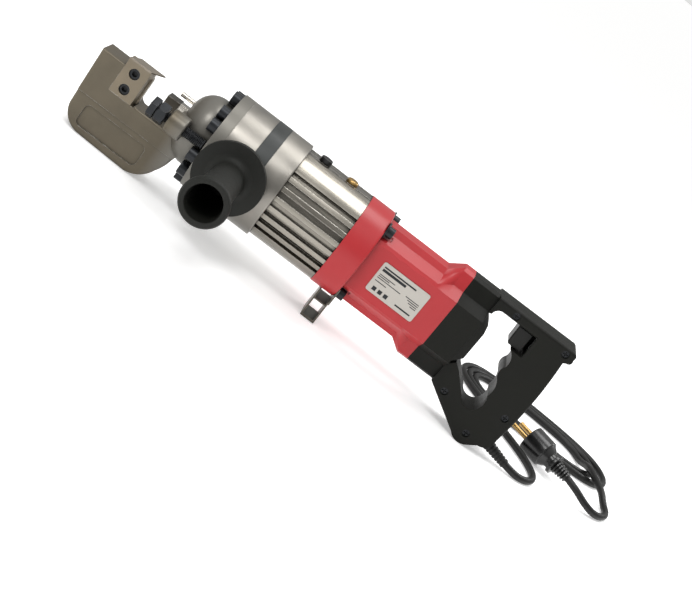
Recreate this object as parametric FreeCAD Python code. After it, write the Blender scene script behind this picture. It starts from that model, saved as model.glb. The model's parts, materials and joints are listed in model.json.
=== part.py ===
import FreeCAD, Part
import math
import os
from FreeCAD import Vector

os.makedirs("parts", exist_ok=True)

# Hand-held electro-hydraulic rebar cutter, in millimetres.
# Everything on the tool is drawn in the tool frame: X along the ram axis towards the handle,
# X = 0 on the front face of the head flange, Z up, the auxiliary handle towards -Y.
# export() then sets the tool down on its jaw, its foot bracket and the heel of its handle,
# so that the table is z = 0 and the origin is under the middle of the jaw.

# --- standing on the table ---
TABLE_PITCH = 1.88          # degrees by which the handle end is higher than the jaw end
FOOT_X = -72.0              # middle of the jaw's flat underside
FOOT_Z = -67.0

# --- jaw and head casting ---
JAW_HALF = 15.0             # half thickness of the jaw's upper arm
JAW_LOWER_HALF = 14.0       # half thickness below the moulded step
JAW_STEP_Z = -33.0
JAW_TOP_Z = 9.0
JAW_NOSE_X = -118.5
MOUTH_WALL_X = -71.8
MOUTH_FLOOR_Z = -16.0
MOUTH_CORNER_R = 6.0
DOME_FRONT_X = -30.6
DOME_FRONT_R = 19.0
DOME_R = 33.5
FLANGE_R = 47.6
FLANGE_LENGTH = 10.8
HEAD_BOLT_CIRCLE_R = 40.7
HEAD_BOLT_END_X = 26.0      # stops short of the side handle sockets
HEAD_BOLT_ANGLES = (4, 41, 61, 105, 133, 161, -24, -52, -80, -108, -136, -164)

# --- blades and ram ---
BLADE_FRONT_X = -95.5
BLADE_EDGE_X = -69.8
BLADE_BOTTOM_Z = -17.0
BLADE_TOP_Z = 16.5
SHEAR_PLANE_Y = 0.0
RAM_R = 13.0
RAM_BORE_R = 13.05
RAM_FLAT_Z = 6.6
RAM_TONGUE_X = -14.0
MOVING_BLADE_X = -53.3
MOVING_BLADE_LENGTH = 13.0
MOVING_BLADE_DEPTH = 13.6
MOVING_BLADE_BOTTOM_Z = -10.4
PISTON_X = 32.0
PISTON_LENGTH = 14.0
PISTON_R = 30.0
BORE_CLEARANCE = 0.05
GUIDE_PIN_R = 2.25
GUIDE_PIN_Y = 10.0
GUIDE_PIN_Z = 12.2
BLADE_SCREW_X = -84.6
BLADE_SCREW_Z = (7.0, -9.0)
BLADE_SCREW_R = 3.0
BLADE_SCREW_HEAD_R = 4.9
RAM_STROKE = 18.0           # forward travel that brings the blades together
SPRING_WIRE_R = 1.5
SPRING_R = 17.5
SPRING_TURNS = 4.0
SPRING_CLEARANCE = 0.2

# --- bar stopper beside the mouth ---
STOPPER_Y = -40.0
STOPPER_Z = 2.0
STOPPER_R = 5.0             # M10
STOPPER_HEAD_X = -55.9
STOPPER_HEAD_HEIGHT = 6.3
STOPPER_END_X = -1.2
NUT_X = -48.5
NUT_HEIGHT = 8.6
NUT_ACROSS_FLATS = 17.0
BOSS_X = -36.8
BOSS_LENGTH = 15.9
BOSS_R = 11.0

# --- pump cylinder (collar) and barrel ---
COLLAR_END_X = 72.0
BAND_X = 36.2
BAND_WIDTH = 13.6
CYLINDER_BOTTOM_X = 60.0
BARREL_END_X = 138.3
BARREL_R = 44.8
BARREL_TOP_Z = 43.4
BARREL_BORE_R = 31.4
FIN_GROOVE_ANGLES = (-38.5, -25.5, -12.5, 0.0, 12.5, 25.5, 38.5)   # degrees from level
FIN_GROOVE_HALF_WIDTH = 2.7
FIN_GROOVE_DEPTH = 3.6
TIE_BOLT_Y = 20.5
TIE_BOLT_Z = 34.8
TIE_BOLT_R = 3.0
RELEASE_X = 87.8
OIL_PLUG_X = 116.7

# --- motor housing ---
SHOULDER_R = 45.3
SHOULDER_END_X = 163.0
GEAR_CASE_R = 36.4
WAIST_END_X = 226.0
FLARE_X = 238.0
HOUSING_END_X = 248.5
WALL = 3.0
MAIN_FACE_Y = 27.2
PLATE_THICKNESS = 1.5
FOOT_BRACKET_Z = -74.3

# --- rear cap and D-handle ---
CAP_END_X = 276.5
HANDLE_HALF = 16.0
BEAM_TOP_Z = 47.9
HANDLE_SCREWS = ((297.2, 43.0), (351.0, 42.6), (291.5, -50.0), (330.4, -69.0), (348.0, -36.5))
BOOT_START = (338.0, 0.0, -65.5)
BOOT_DIRECTION = (0.97, 0.0, -0.24)
BOOT_R = 5.6
BOOT_END_R = 4.2
BOOT_STRAIGHT = 18.0
BOOT_LENGTH = 42.0

# --- auxiliary handle ---
AUX_X = 32.6
AUX_DISC_Y = -68.0
AUX_DISC_R = 31.5
AUX_END_Y = -156.0
AUX_GRIP_R = 14.0
AUX_LIP_R = 20.3
AUX_BORE_R = 15.2
AUX_STUD_R = 6.0

# --- motor and pump ---
SHAFT_R = 4.0
PINION_TEETH = 10
WHEEL_TEETH = 30
GEAR_MODULE = 1.0
ECCENTRIC_OFFSET = 2.5
GEAR_X = 143.0
GEAR_WIDTH = 9.0
CENTRE_DISTANCE = (PINION_TEETH + WHEEL_TEETH) * GEAR_MODULE / 2.0

# --- mains lead, laid on the table (row frame) ---
CORD_R = 3.5
COIL_HEIGHT = 7.5
CORD_LEAD = (
    (450.0, 0.0, 6.36),
    (462.0, 0.0, 3.9),
    (475.0, 5.0, 3.5),
    (484.0, 17.0, 3.5),
    (486.0, 33.0, 3.5),
    (479.0, 50.0, 3.5),
    (466.0, 66.0, 3.5),
    (450.0, 80.0, 3.5),
    (437.0, 97.0, 3.5),
    (424.0, 110.0, 3.5),
)
CORD_TAIL = (
    (519.38, 58.35, 14.1),
    (530.8, 52.0, 13.0),
    (544.0, 49.0, 8.5),
    (559.0, 53.0, 4.5),
    (571.0, 64.0, 3.5),
    (577.0, 80.0, 3.5),
)
COIL_OUTSIDE = (
    (386.0, 150.0), (394.0, 112.0), (425.0, 102.0), (475.0, 109.0), (520.0, 98.0), (550.0, 74.0), (577.0, 68.0),
    (590.0, 92.0), (589.0, 150.0), (562.0, 188.0), (500.0, 206.0), (432.0, 198.0), (397.0, 180.0),
)
COIL_INSIDE = ((432.0, 150.0), (450.0, 136.0), (505.0, 132.0), (545.0, 122.0), (552.0, 145.0), (510.0, 164.0),
               (455.0, 164.0))
PLUG_FRONT = Vector(473.0, 84.0, 14.1)
PLUG_AXIS = Vector(0.875, -0.484, 0.0).normalize()
PLUG_R = 14.0

EXTRA = 1.0                 # how far cutting tools run past the faces they cut


# ---------- basic shapes ----------

def box(x0, x1, y0, y1, z0, z1):
    return Part.makeBox(x1 - x0, y1 - y0, z1 - z0, Vector(x0, y0, z0))


def rod_x(x0, x1, radius, y=0.0, z=0.0):
    return Part.makeCylinder(radius, x1 - x0, Vector(x0, y, z), Vector(1, 0, 0))


def rod_y(y0, y1, radius, x=0.0, z=0.0):
    return Part.makeCylinder(radius, y1 - y0, Vector(x, y0, z), Vector(0, 1, 0))


def rod_z(z0, z1, radius, x=0.0, y=0.0):
    return Part.makeCylinder(radius, z1 - z0, Vector(x, y, z0), Vector(0, 0, 1))


def tube_x(x0, x1, outer, inner, y=0.0, z=0.0):
    return rod_x(x0, x1, outer, y, z).cut(rod_x(x0 - EXTRA, x1 + EXTRA, inner, y, z))


def hexagon_x(x0, x1, across_flats, y=0.0, z=0.0):
    corner = across_flats / math.sqrt(3.0)
    points = []
    for step in range(6):
        angle = math.radians(60 * step)
        points.append(Vector(x0, y + corner * math.sin(angle), z + corner * math.cos(angle)))
    return extrude(points, Vector(x1 - x0, 0, 0))


def extrude(points, direction):
    wire = Part.makePolygon(points + [points[0]])
    return Part.Face(wire).extrude(direction)


def section_x(points_yz, x0, x1):
    return extrude([Vector(x0, y, z) for y, z in points_yz], Vector(x1 - x0, 0, 0))


def outline_y(path, y0, y1):
    """Prism of an X-Z outline: ("line", x, z) and ("arc", mid_x, mid_z, x, z) from its first point."""
    here = Vector(path[0][0], y0, path[0][1])
    first = here
    edges = []
    for piece in path[1:]:
        there = Vector(piece[-2], y0, piece[-1])
        if piece[0] == "arc":
            middle = Vector(piece[1], y0, piece[2])
            edges.append(Part.Arc(here, middle, there).toShape())
        else:
            edges.append(Part.LineSegment(here, there).toShape())
        here = there
    if here.distanceToPoint(first) > 1e-6:
        edges.append(Part.LineSegment(here, first).toShape())
    return Part.Face(Part.Wire(edges)).extrude(Vector(0, y1 - y0, 0))


def fuse(shapes):
    return shapes[0].multiFuse(shapes[1:]).removeSplitter()


def cut_all(shape, tools):
    for tool in tools:
        shape = shape.cut(tool)
    return shape


def rounded(shape, radius, chosen):
    edges = [edge for edge in shape.Edges if chosen(edge)]
    return shape.makeFillet(radius, edges)


def edge_middle(edge):
    return edge.valueAt((edge.FirstParameter + edge.LastParameter) / 2)


def mirrored_yz(y, z):
    return [(sy * y, sz * z) for sy in (-1, 1) for sz in (-1, 1)]


def socket_screw_x(x0, head_height, head_r, shank_end, shank_r, y, z):
    """Socket cap screw: head from x0 forwards, shank from the head to shank_end."""
    towards = 1 if shank_end > x0 else -1
    head_end = x0 + towards * head_height
    head = rod_x(min(x0, head_end), max(x0, head_end), head_r, y, z)
    shank = rod_x(min(head_end, shank_end), max(head_end, shank_end), shank_r, y, z)
    depth = head_height * 0.55
    low = min(x0, x0 + towards * depth) - (EXTRA if towards > 0 else 0)
    high = max(x0, x0 + towards * depth) + (EXTRA if towards < 0 else 0)
    return head.fuse(shank).removeSplitter().cut(hexagon_x(low, high, head_r * 0.92, y, z))


# ---------- placing and writing ----------

def to_row(shape):
    placed = shape.copy()
    placed.translate(Vector(-FOOT_X, 0, -FOOT_Z))
    placed.rotate(Vector(0, 0, 0), Vector(0, 1, 0), -TABLE_PITCH)
    return placed


def export(name, shape):
    write(name, to_row(shape))


def write(name, shape):
    if not shape.isValid():
        print("INVALID", name)
    solids = len(shape.Solids)
    if shape.ShapeType == "Compound" and solids == 1:
        shape = shape.Solids[0]
    print(f"{name}: {solids} solid(s), {shape.Volume:.0f} mm3")
    shape.exportStep(f"parts/{name}.step")


# ---------- jaw and head ----------

def jaw_plate():
    upper = outline_y([
        (JAW_NOSE_X, JAW_TOP_Z),
        ("line", -117.3, JAW_STEP_Z),
        ("line", -17.5, JAW_STEP_Z),
        ("line", -14.0, -24.0),
        ("line", -14.0, MOUTH_FLOOR_Z),
        ("line", MOUTH_WALL_X + MOUTH_CORNER_R, MOUTH_FLOOR_Z),
        ("arc", MOUTH_WALL_X + 0.293 * MOUTH_CORNER_R, MOUTH_FLOOR_Z + 0.293 * MOUTH_CORNER_R,
         MOUTH_WALL_X, MOUTH_FLOOR_Z + MOUTH_CORNER_R),
        ("line", MOUTH_WALL_X, JAW_TOP_Z - 3.0),
        ("arc", MOUTH_WALL_X - 0.88, JAW_TOP_Z - 0.88, MOUTH_WALL_X - 3.0, JAW_TOP_Z),
    ], -JAW_HALF, JAW_HALF)
    upper = rounded(upper, 1.6, lambda e: abs(abs(edge_middle(e).y) - JAW_HALF) < 0.01
                    and (edge_middle(e).z > JAW_TOP_Z - 0.1 or edge_middle(e).x < -117.3))
    lower = outline_y([
        (-117.3, JAW_STEP_Z + EXTRA),
        ("line", -116.8, -47.0),
        ("arc", -111.6, -58.9, -97.0, -66.18),
        ("line", -47.2, -67.82),
        ("arc", -33.0, -62.2, -24.5, -51.0),
        ("arc", -19.8, -42.0, -17.5, JAW_STEP_Z + EXTRA),
    ], -JAW_LOWER_HALF, JAW_LOWER_HALF)
    lower = rounded(lower, 2.0, lambda e: abs(abs(edge_middle(e).y) - JAW_LOWER_HALF) < 0.01
                    and edge_middle(e).z < JAW_STEP_Z - 0.1 and edge_middle(e).z > -66.5)
    pocket = box(-103.5, -41.0, -JAW_LOWER_HALF - EXTRA, -JAW_LOWER_HALF + 1.5, -59.8, -38.6)
    pocket = rounded(pocket, 5.0, lambda e: abs(e.tangentAt(e.FirstParameter).y) > 0.9)
    far_pocket = pocket.mirror(Vector(0, 0, 0), Vector(0, 1, 0))
    return cut_all(fuse([upper, lower]), [pocket, far_pocket])


def head_body():
    corners = [Vector(DOME_FRONT_X, 0, 0), Vector(DOME_FRONT_X, 0, DOME_FRONT_R), Vector(-7.0, 0, DOME_R),
               Vector(0, 0, DOME_R), Vector(0, 0, FLANGE_R), Vector(FLANGE_LENGTH, 0, FLANGE_R),
               Vector(FLANGE_LENGTH, 0, 0)]
    edges = [Part.LineSegment(corners[0], corners[1]).toShape(),
             Part.Arc(corners[1], Vector(-22.4, 0, 30.3), corners[2]).toShape()]
    for start, end in zip(corners[2:], corners[3:] + corners[:1]):
        edges.append(Part.LineSegment(start, end).toShape())
    turned = Part.Face(Part.Wire(edges)).revolve(Vector(0, 0, 0), Vector(1, 0, 0), 360)
    return Part.Solid(turned.Shells[0]) if turned.ShapeType != "Solid" else turned


def head_bolt_places():
    for angle in HEAD_BOLT_ANGLES:
        turn = math.radians(angle)
        yield -HEAD_BOLT_CIRCLE_R * math.sin(turn), HEAD_BOLT_CIRCLE_R * math.cos(turn)


def fixed_blade_shape(gap=0.0):
    """Hardened block with a relief face that leads back to its cutting edge on the shear plane."""
    near = -JAW_HALF
    pad = [Vector(BLADE_FRONT_X - gap, near, 0), Vector(BLADE_EDGE_X - 3.2, near, 0),
           Vector(BLADE_EDGE_X - 1.2, SHEAR_PLANE_Y - 6.0, 0), Vector(BLADE_EDGE_X - 1.2, SHEAR_PLANE_Y + gap, 0),
           Vector(BLADE_FRONT_X - gap, SHEAR_PLANE_Y + gap, 0)]
    block = extrude([point + Vector(0, 0, BLADE_BOTTOM_Z) for point in pad], Vector(0, 0, BLADE_TOP_Z - BLADE_BOTTOM_Z))
    edge = outline_y([
        (BLADE_EDGE_X - 3.0, BLADE_BOTTOM_Z + 1.5),
        ("line", BLADE_EDGE_X, BLADE_BOTTOM_Z + 1.5),
        ("line", BLADE_EDGE_X, 8.4),
        ("arc", BLADE_EDGE_X - 0.88, 10.52, BLADE_EDGE_X - 3.0, 11.4),
    ], SHEAR_PLANE_Y - 7.0, SHEAR_PLANE_Y)
    return block.fuse(edge).removeSplitter()


def jaw_frame():
    lug = rod_x(BOSS_X, BOSS_X + BOSS_LENGTH, BOSS_R, STOPPER_Y, STOPPER_Z)
    lug = rounded(lug, 1.5, lambda e: e.Length > 30)
    bridge = box(BOSS_X + 4.0, BOSS_X + BOSS_LENGTH - 0.4, STOPPER_Y, -14.5, STOPPER_Z - 9.0, STOPPER_Z + 7.0)
    web = box(-34.0, -14.0, -13.0, 13.0, -26.0, MOUTH_FLOOR_Z)
    casting = fuse([jaw_plate(), head_body(), lug, bridge, web])
    seat = box(BLADE_FRONT_X, BLADE_EDGE_X + 0.5, -JAW_HALF - EXTRA, SHEAR_PLANE_Y, BLADE_BOTTOM_Z, 30.0)
    tools = [
        seat,
        rod_x(-45.0, 20.0, RAM_BORE_R),
        rod_x(-3.0, 20.0, 24.0),
        rod_x(BOSS_X - 5.0, BOSS_X + BOSS_LENGTH + 5.0, STOPPER_R + 0.05, STOPPER_Y, STOPPER_Z),
        rod_x(-45.0, -17.0, GUIDE_PIN_R, GUIDE_PIN_Y, GUIDE_PIN_Z),
    ]
    for y, z in head_bolt_places():
        tools.append(rod_x(-EXTRA, FLANGE_LENGTH + EXTRA, 4.0, y, z))
    for z in BLADE_SCREW_Z:
        tools.append(rod_y(-EXTRA, 11.0, BLADE_SCREW_R, BLADE_SCREW_X, z))
    return cut_all(casting, tools)


def fixed_blade():
    block = fixed_blade_shape()
    for z in BLADE_SCREW_Z:
        block = block.cut(rod_y(-JAW_HALF - EXTRA, 1.0, BLADE_SCREW_R, BLADE_SCREW_X, z))
        block = block.cut(rod_y(-JAW_HALF - EXTRA, -6.0, BLADE_SCREW_HEAD_R, BLADE_SCREW_X, z))
    return block


def fixed_blade_screws():
    screws = []
    for z in BLADE_SCREW_Z:
        head = rod_y(-13.2, -6.0, BLADE_SCREW_HEAD_R - 0.1, BLADE_SCREW_X, z)
        shank = rod_y(-6.0, 10.5, BLADE_SCREW_R, BLADE_SCREW_X, z)
        socket = rod_y(-14.0, -9.5, 2.6, BLADE_SCREW_X, z)
        screws.append(head.fuse(shank).removeSplitter().cut(socket))
    return Part.makeCompound(screws)


def blade_guard():
    corners = [(BLADE_FRONT_X, -JAW_HALF), (-73.4, -JAW_HALF), (-63.8, SHEAR_PLANE_Y + 1.0), (-89.0, SHEAR_PLANE_Y + 1.0)]
    return extrude([Vector(x, y, BLADE_TOP_Z) for x, y in corners], Vector(0, 0, 1.2))


def head_bolts():
    return Part.makeCompound([socket_screw_x(-8.0, 8.0, 6.4, HEAD_BOLT_END_X, 4.0, y, z) for y, z in head_bolt_places()])


def guide_pin():
    return rod_x(-45.6, -17.0, GUIDE_PIN_R, GUIDE_PIN_Y, GUIDE_PIN_Z)


# ---------- ram ----------

def ram():
    rear_of_blade = MOVING_BLADE_X + MOVING_BLADE_LENGTH
    tongue = rod_x(rear_of_blade, RAM_TONGUE_X, RAM_R)
    tongue = tongue.common(box(rear_of_blade, RAM_TONGUE_X, SHEAR_PLANE_Y + 0.4, 20.0, -20.0, RAM_FLAT_Z))
    body = rod_x(RAM_TONGUE_X, PISTON_X, RAM_R)
    piston = rod_x(PISTON_X, PISTON_X + PISTON_LENGTH, PISTON_R)
    piston = piston.cut(tube_x(PISTON_X + 5.0, PISTON_X + 9.0, PISTON_R + EXTRA, PISTON_R - 3.0))
    screw_hole = rod_x(rear_of_blade - EXTRA, rear_of_blade + 12.0, 2.5, 7.0, -2.0)
    return fuse([tongue, body, piston]).cut(screw_hole)


def moving_blade():
    y0 = SHEAR_PLANE_Y + 0.4
    block = box(MOVING_BLADE_X, MOVING_BLADE_X + MOVING_BLADE_LENGTH, y0, y0 + MOVING_BLADE_DEPTH,
                MOVING_BLADE_BOTTOM_Z, RAM_FLAT_Z)
    hole = rod_x(MOVING_BLADE_X - EXTRA, 0, 2.5, 7.0, -2.0)
    counterbore = rod_x(MOVING_BLADE_X - EXTRA, MOVING_BLADE_X + 5.5, 4.4, 7.0, -2.0)
    return cut_all(block, [hole, counterbore])


def moving_blade_screw():
    return socket_screw_x(MOVING_BLADE_X + 0.8, 4.7, 4.3, MOVING_BLADE_X + 24.0, 2.5, 7.0, -2.0)


def piston_seal():
    return tube_x(PISTON_X + 5.0, PISTON_X + 9.0, PISTON_R, PISTON_R - 3.0)


def return_spring():
    """Drawn at its closed length, so that the piston can come forward by its whole stroke."""
    start_x = -3.0 + SPRING_WIRE_R
    length = PISTON_X - RAM_STROKE - SPRING_CLEARANCE - SPRING_WIRE_R - start_x
    helix = Part.makeHelix(length / SPRING_TURNS, length, SPRING_R)
    circle = Part.Circle(Vector(SPRING_R, 0, 0), Vector(0, 1, 0), SPRING_WIRE_R)
    coil = Part.Wire(helix.Edges).makePipeShell([Part.Wire(circle.toShape())], True, True)
    coil.rotate(Vector(0, 0, 0), Vector(0, 1, 0), 90)
    coil.translate(Vector(start_x, 0, 0))
    return coil


# ---------- stopper ----------

def stopper_bolt():
    head_end = STOPPER_HEAD_X + STOPPER_HEAD_HEIGHT
    head = hexagon_x(STOPPER_HEAD_X, head_end, NUT_ACROSS_FLATS, STOPPER_Y, STOPPER_Z)
    head = head.common(Part.makeCone(8.2, 14.5, 8.0, Vector(STOPPER_HEAD_X, STOPPER_Y, STOPPER_Z), Vector(1, 0, 0)))
    shank = rod_x(head_end, STOPPER_END_X, STOPPER_R, STOPPER_Y, STOPPER_Z)
    return head.fuse(shank).removeSplitter()


def stopper_nut():
    nut = hexagon_x(NUT_X, NUT_X + NUT_HEIGHT, NUT_ACROSS_FLATS, STOPPER_Y, STOPPER_Z)
    for x, radii in ((NUT_X, (8.6, 15.5)), (NUT_X + NUT_HEIGHT - 9.0, (15.9, 8.6))):
        nut = nut.common(Part.makeCone(radii[0], radii[1], 9.0, Vector(x, STOPPER_Y, STOPPER_Z), Vector(1, 0, 0)))
    return nut.cut(rod_x(NUT_X - EXTRA, NUT_X + NUT_HEIGHT + EXTRA, STOPPER_R + 0.05, STOPPER_Y, STOPPER_Z))


# ---------- collar, band, barrel ----------

def pump_cylinder():
    body = rod_x(FLANGE_LENGTH, COLLAR_END_X, FLANGE_R)
    body = rounded(body, 1.2, lambda e: edge_middle(e).x > COLLAR_END_X - 0.1 and e.Length > 100)
    tools = [
        rod_x(FLANGE_LENGTH - EXTRA, CYLINDER_BOTTOM_X, PISTON_R + BORE_CLEARANCE),
        tube_x(BAND_X, BAND_X + BAND_WIDTH, FLANGE_R + EXTRA, FLANGE_R - 0.8),
        rod_y(-FLANGE_R - EXTRA, -35.0, AUX_STUD_R, AUX_X),
        rod_y(35.0, FLANGE_R + EXTRA, AUX_STUD_R, AUX_X),
        rod_x(CYLINDER_BOTTOM_X - EXTRA, COLLAR_END_X + EXTRA, 4.0, 0, 10.0),
    ]
    for y, z in head_bolt_places():
        tools.append(rod_x(FLANGE_LENGTH - EXTRA, HEAD_BOLT_END_X + 0.5, 4.0, y, z))
    for y, z in mirrored_yz(TIE_BOLT_Y, TIE_BOLT_Z):
        tools.append(rod_x(58.0, COLLAR_END_X + EXTRA, TIE_BOLT_R, y, z))
    return cut_all(body, tools)


def collar_band():
    band = tube_x(BAND_X, BAND_X + BAND_WIDTH, FLANGE_R + 0.15, FLANGE_R - 0.8)
    clearance = AUX_STUD_R + 0.3
    return band.cut(rod_y(-60.0, 60.0, clearance, AUX_X))


def pump_barrel():
    body = rod_x(COLLAR_END_X, BARREL_END_X, BARREL_R)
    cutters = []
    for side in (-1, 1):
        for degrees in FIN_GROOVE_ANGLES:
            angle = math.radians(degrees)
            y = side * BARREL_R * math.cos(angle)
            z = BARREL_R * math.sin(angle)
            groove = box(COLLAR_END_X - EXTRA, BARREL_END_X + EXTRA, -FIN_GROOVE_DEPTH, FIN_GROOVE_DEPTH,
                         -FIN_GROOVE_HALF_WIDTH, FIN_GROOVE_HALF_WIDTH)
            groove.rotate(Vector(0, 0, 0), Vector(1, 0, 0), math.degrees(math.atan2(z, y)))
            groove.translate(Vector(0, y, z))
            cutters.append(groove)
    for side in (-1, 1):
        cutters.append(box(COLLAR_END_X - EXTRA, BARREL_END_X + EXTRA, -60, 60,
                           min(side * BARREL_TOP_Z, side * 60), max(side * BARREL_TOP_Z, side * 60)))
        for y in (-7.5, 7.5):
            cutters.append(box(COLLAR_END_X - EXTRA, BARREL_END_X + EXTRA, y - 1.0, y + 1.0,
                               side * BARREL_TOP_Z - 1.6, side * BARREL_TOP_Z + 1.6))
    cutters.append(rod_x(COLLAR_END_X - EXTRA, BARREL_END_X + EXTRA, BARREL_BORE_R))
    cutters.append(rod_z(30.0, 50.0, 3.05, RELEASE_X))
    cutters.append(rod_z(30.0, 50.0, 4.0, OIL_PLUG_X))
    for y, z in mirrored_yz(TIE_BOLT_Y, TIE_BOLT_Z):
        cutters.append(rod_x(COLLAR_END_X - EXTRA, BARREL_END_X + EXTRA, TIE_BOLT_R + 0.2, y, z))
    return cut_all(body, cutters)


def release_valve():
    knob = rod_z(BARREL_TOP_Z + 0.3, BARREL_TOP_Z + 4.6, 5.6, RELEASE_X)
    knob = rounded(knob, 0.6, lambda e: edge_middle(e).z > BARREL_TOP_Z + 4.0 and e.Length > 20)
    slot = box(RELEASE_X - 7.0, RELEASE_X + 7.0, -0.7, 0.7, BARREL_TOP_Z + 3.2, BARREL_TOP_Z + 6.0)
    stem = rod_z(32.0, BARREL_TOP_Z + 0.3, 3.0, RELEASE_X)
    return knob.cut(slot).fuse(stem).removeSplitter()


def oil_plug():
    head = rod_z(BARREL_TOP_Z, BARREL_TOP_Z + 3.6, 5.6, OIL_PLUG_X)
    head = rounded(head, 2.0, lambda e: edge_middle(e).z > BARREL_TOP_Z + 3.0 and e.Length > 20)
    slot = box(OIL_PLUG_X - 7.0, OIL_PLUG_X + 7.0, -0.8, 0.8, BARREL_TOP_Z + 2.2, BARREL_TOP_Z + 6.0)
    return head.cut(slot).fuse(rod_z(34.0, BARREL_TOP_Z, 4.0, OIL_PLUG_X)).removeSplitter()


# ---------- motor housing ----------

def waist_points(inset=0.0):
    top = 38.0 - inset
    bottom = -41.0 + inset
    right = [(9.5 - 0.4 * inset, top), (13.0 - inset, 32.5 - inset), (25.0 - inset, 26.3 - inset),
             (MAIN_FACE_Y - inset, 23.4 - 0.4 * inset), (MAIN_FACE_Y - inset, -23.4 + 0.4 * inset),
             (25.0 - inset, -26.3 + inset), (13.0 - inset, -34.5 + inset), (9.5 - 0.4 * inset, bottom)]
    return right + [(-y, z) for y, z in reversed(right)]


def rear_points(inset=0.0):
    top = BEAM_TOP_Z - inset
    bottom = -50.2 + inset
    right = [(6.5 - 0.4 * inset, top), (10.5 - inset, top - 2.6), (14.0 - inset, 31.0 - 0.6 * inset),
             (MAIN_FACE_Y - inset, 23.4 - 0.4 * inset), (MAIN_FACE_Y - inset, -23.4 + 0.4 * inset),
             (14.0 - inset, -32.0 + 0.6 * inset), (10.5 - inset, bottom + 2.6), (6.5 - 0.4 * inset, bottom)]
    return right + [(-y, z) for y, z in reversed(right)]


def loft(points_a, x_a, points_b, x_b):
    wires = []
    for points, x in ((points_a, x_a), (points_b, x_b)):
        vectors = [Vector(x, y, z) for y, z in points]
        wires.append(Part.makePolygon(vectors + [vectors[0]]))
    return Part.makeLoft(wires, True, True)


def motor_housing():
    shoulder = rod_x(BARREL_END_X, SHOULDER_END_X, SHOULDER_R)
    shoulder = rounded(shoulder, 2.0, lambda e: edge_middle(e).x > SHOULDER_END_X - 0.1 and e.Length > 100)
    waist = section_x(waist_points(), SHOULDER_END_X - 2.0, FLARE_X)
    rear = section_x(rear_points(), FLARE_X, HOUSING_END_X)
    ramp = loft(waist_points(), WAIST_END_X, rear_points(), FLARE_X)
    shell = fuse([shoulder, waist, ramp, rear])
    hollow = fuse([rod_x(BARREL_END_X - EXTRA, SHOULDER_END_X - WALL, GEAR_CASE_R),
                   section_x(waist_points(WALL), SHOULDER_END_X - WALL - EXTRA, HOUSING_END_X + EXTRA)])
    tools = [hollow]
    for y, z in mirrored_yz(TIE_BOLT_Y, TIE_BOLT_Z):
        tools.append(rod_x(BARREL_END_X - EXTRA, SHOULDER_END_X + EXTRA, TIE_BOLT_R + 0.2, y, z))
        tools.append(rod_x(SHOULDER_END_X, SHOULDER_END_X + 10.0, 6.4, y, z))
    return cut_all(shell, tools)


def housing_screws():
    seats = SHOULDER_END_X + PLATE_THICKNESS
    return Part.makeCompound([socket_screw_x(seats + 6.0, 6.0, 5.0, 58.5, TIE_BOLT_R, y, z)
                              for y, z in mirrored_yz(TIE_BOLT_Y, TIE_BOLT_Z)])


def screw_plates():
    plates = []
    for side in (-1, 1):
        plate = rod_x(SHOULDER_END_X, SHOULDER_END_X + PLATE_THICKNESS, 7.4, side * TIE_BOLT_Y, TIE_BOLT_Z)
        waist = section_x(waist_points(), SHOULDER_END_X - EXTRA, SHOULDER_END_X + 5.0)
        hole = rod_x(SHOULDER_END_X - EXTRA, SHOULDER_END_X + 5.0, TIE_BOLT_R + 0.2, side * TIE_BOLT_Y, TIE_BOLT_Z)
        plates.append(cut_all(plate, [waist, hole]))
    return Part.makeCompound(plates)


def support_foot():
    """Bent steel bracket held by the two lower tie screws, with a crossbar between its legs."""
    back = SHOULDER_END_X
    plate = box(back, back + PLATE_THICKNESS, -27.0, 27.0, -48.0, -30.5)
    keep_clear = section_x([(y * 1.02, z * 1.02) for y, z in waist_points()], back - EXTRA, back + 5.0)
    plate = plate.cut(keep_clear)
    rear_leg = box(back, back + PLATE_THICKNESS, -14.0, 14.0, FOOT_BRACKET_Z, -44.0)
    floor_bar = box(151.0, back + PLATE_THICKNESS, -14.0, 14.0, FOOT_BRACKET_Z, FOOT_BRACKET_Z + 2.0)
    front_leg = box(150.0, 151.5, -14.0, 14.0, FOOT_BRACKET_Z + 0.1, -SHOULDER_R + 0.6)
    crossbar = box(151.0, back + EXTRA, -14.0, 14.0, -55.0, -53.5)
    bracket = fuse([plate, rear_leg, floor_bar, front_leg, crossbar])
    shoulder_clearance = rod_x(BARREL_END_X, SHOULDER_END_X, SHOULDER_R)
    holes = [rod_x(back - EXTRA, back + 5.0, TIE_BOLT_R + 0.2, y, -TIE_BOLT_Z) for y in (-TIE_BOLT_Y, TIE_BOLT_Y)]
    return cut_all(bracket, [shoulder_clearance] + holes)


def rating_plate():
    plate = box(179.0, 228.0, -MAIN_FACE_Y - 0.6, -MAIN_FACE_Y, -15.2, 14.6)
    return rounded(plate, 2.0, lambda e: abs(e.tangentAt(e.FirstParameter).y) > 0.9)


# ---------- rear cap and D-handle ----------

def rear_cap():
    body = section_x(rear_points(), HOUSING_END_X, CAP_END_X)
    bulge_points = [(26.0, 22.0), (26.0, -21.0), (12.0, -28.0), (-12.0, -28.0), (-26.0, -21.0), (-26.0, 22.0),
                    (-12.0, 30.0), (12.0, 30.0)]
    end_points = [(y * 0.82, z * 0.66) for y, z in bulge_points]
    bulge = loft(bulge_points, CAP_END_X, end_points, CAP_END_X + 8.0)
    hollow = section_x(rear_points(WALL), HOUSING_END_X - EXTRA, CAP_END_X - WALL)
    bearing_seat = rod_x(CAP_END_X - WALL - EXTRA, CAP_END_X + 2.0, 11.0)
    return cut_all(body.fuse(bulge), [hollow, bearing_seat])


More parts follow.
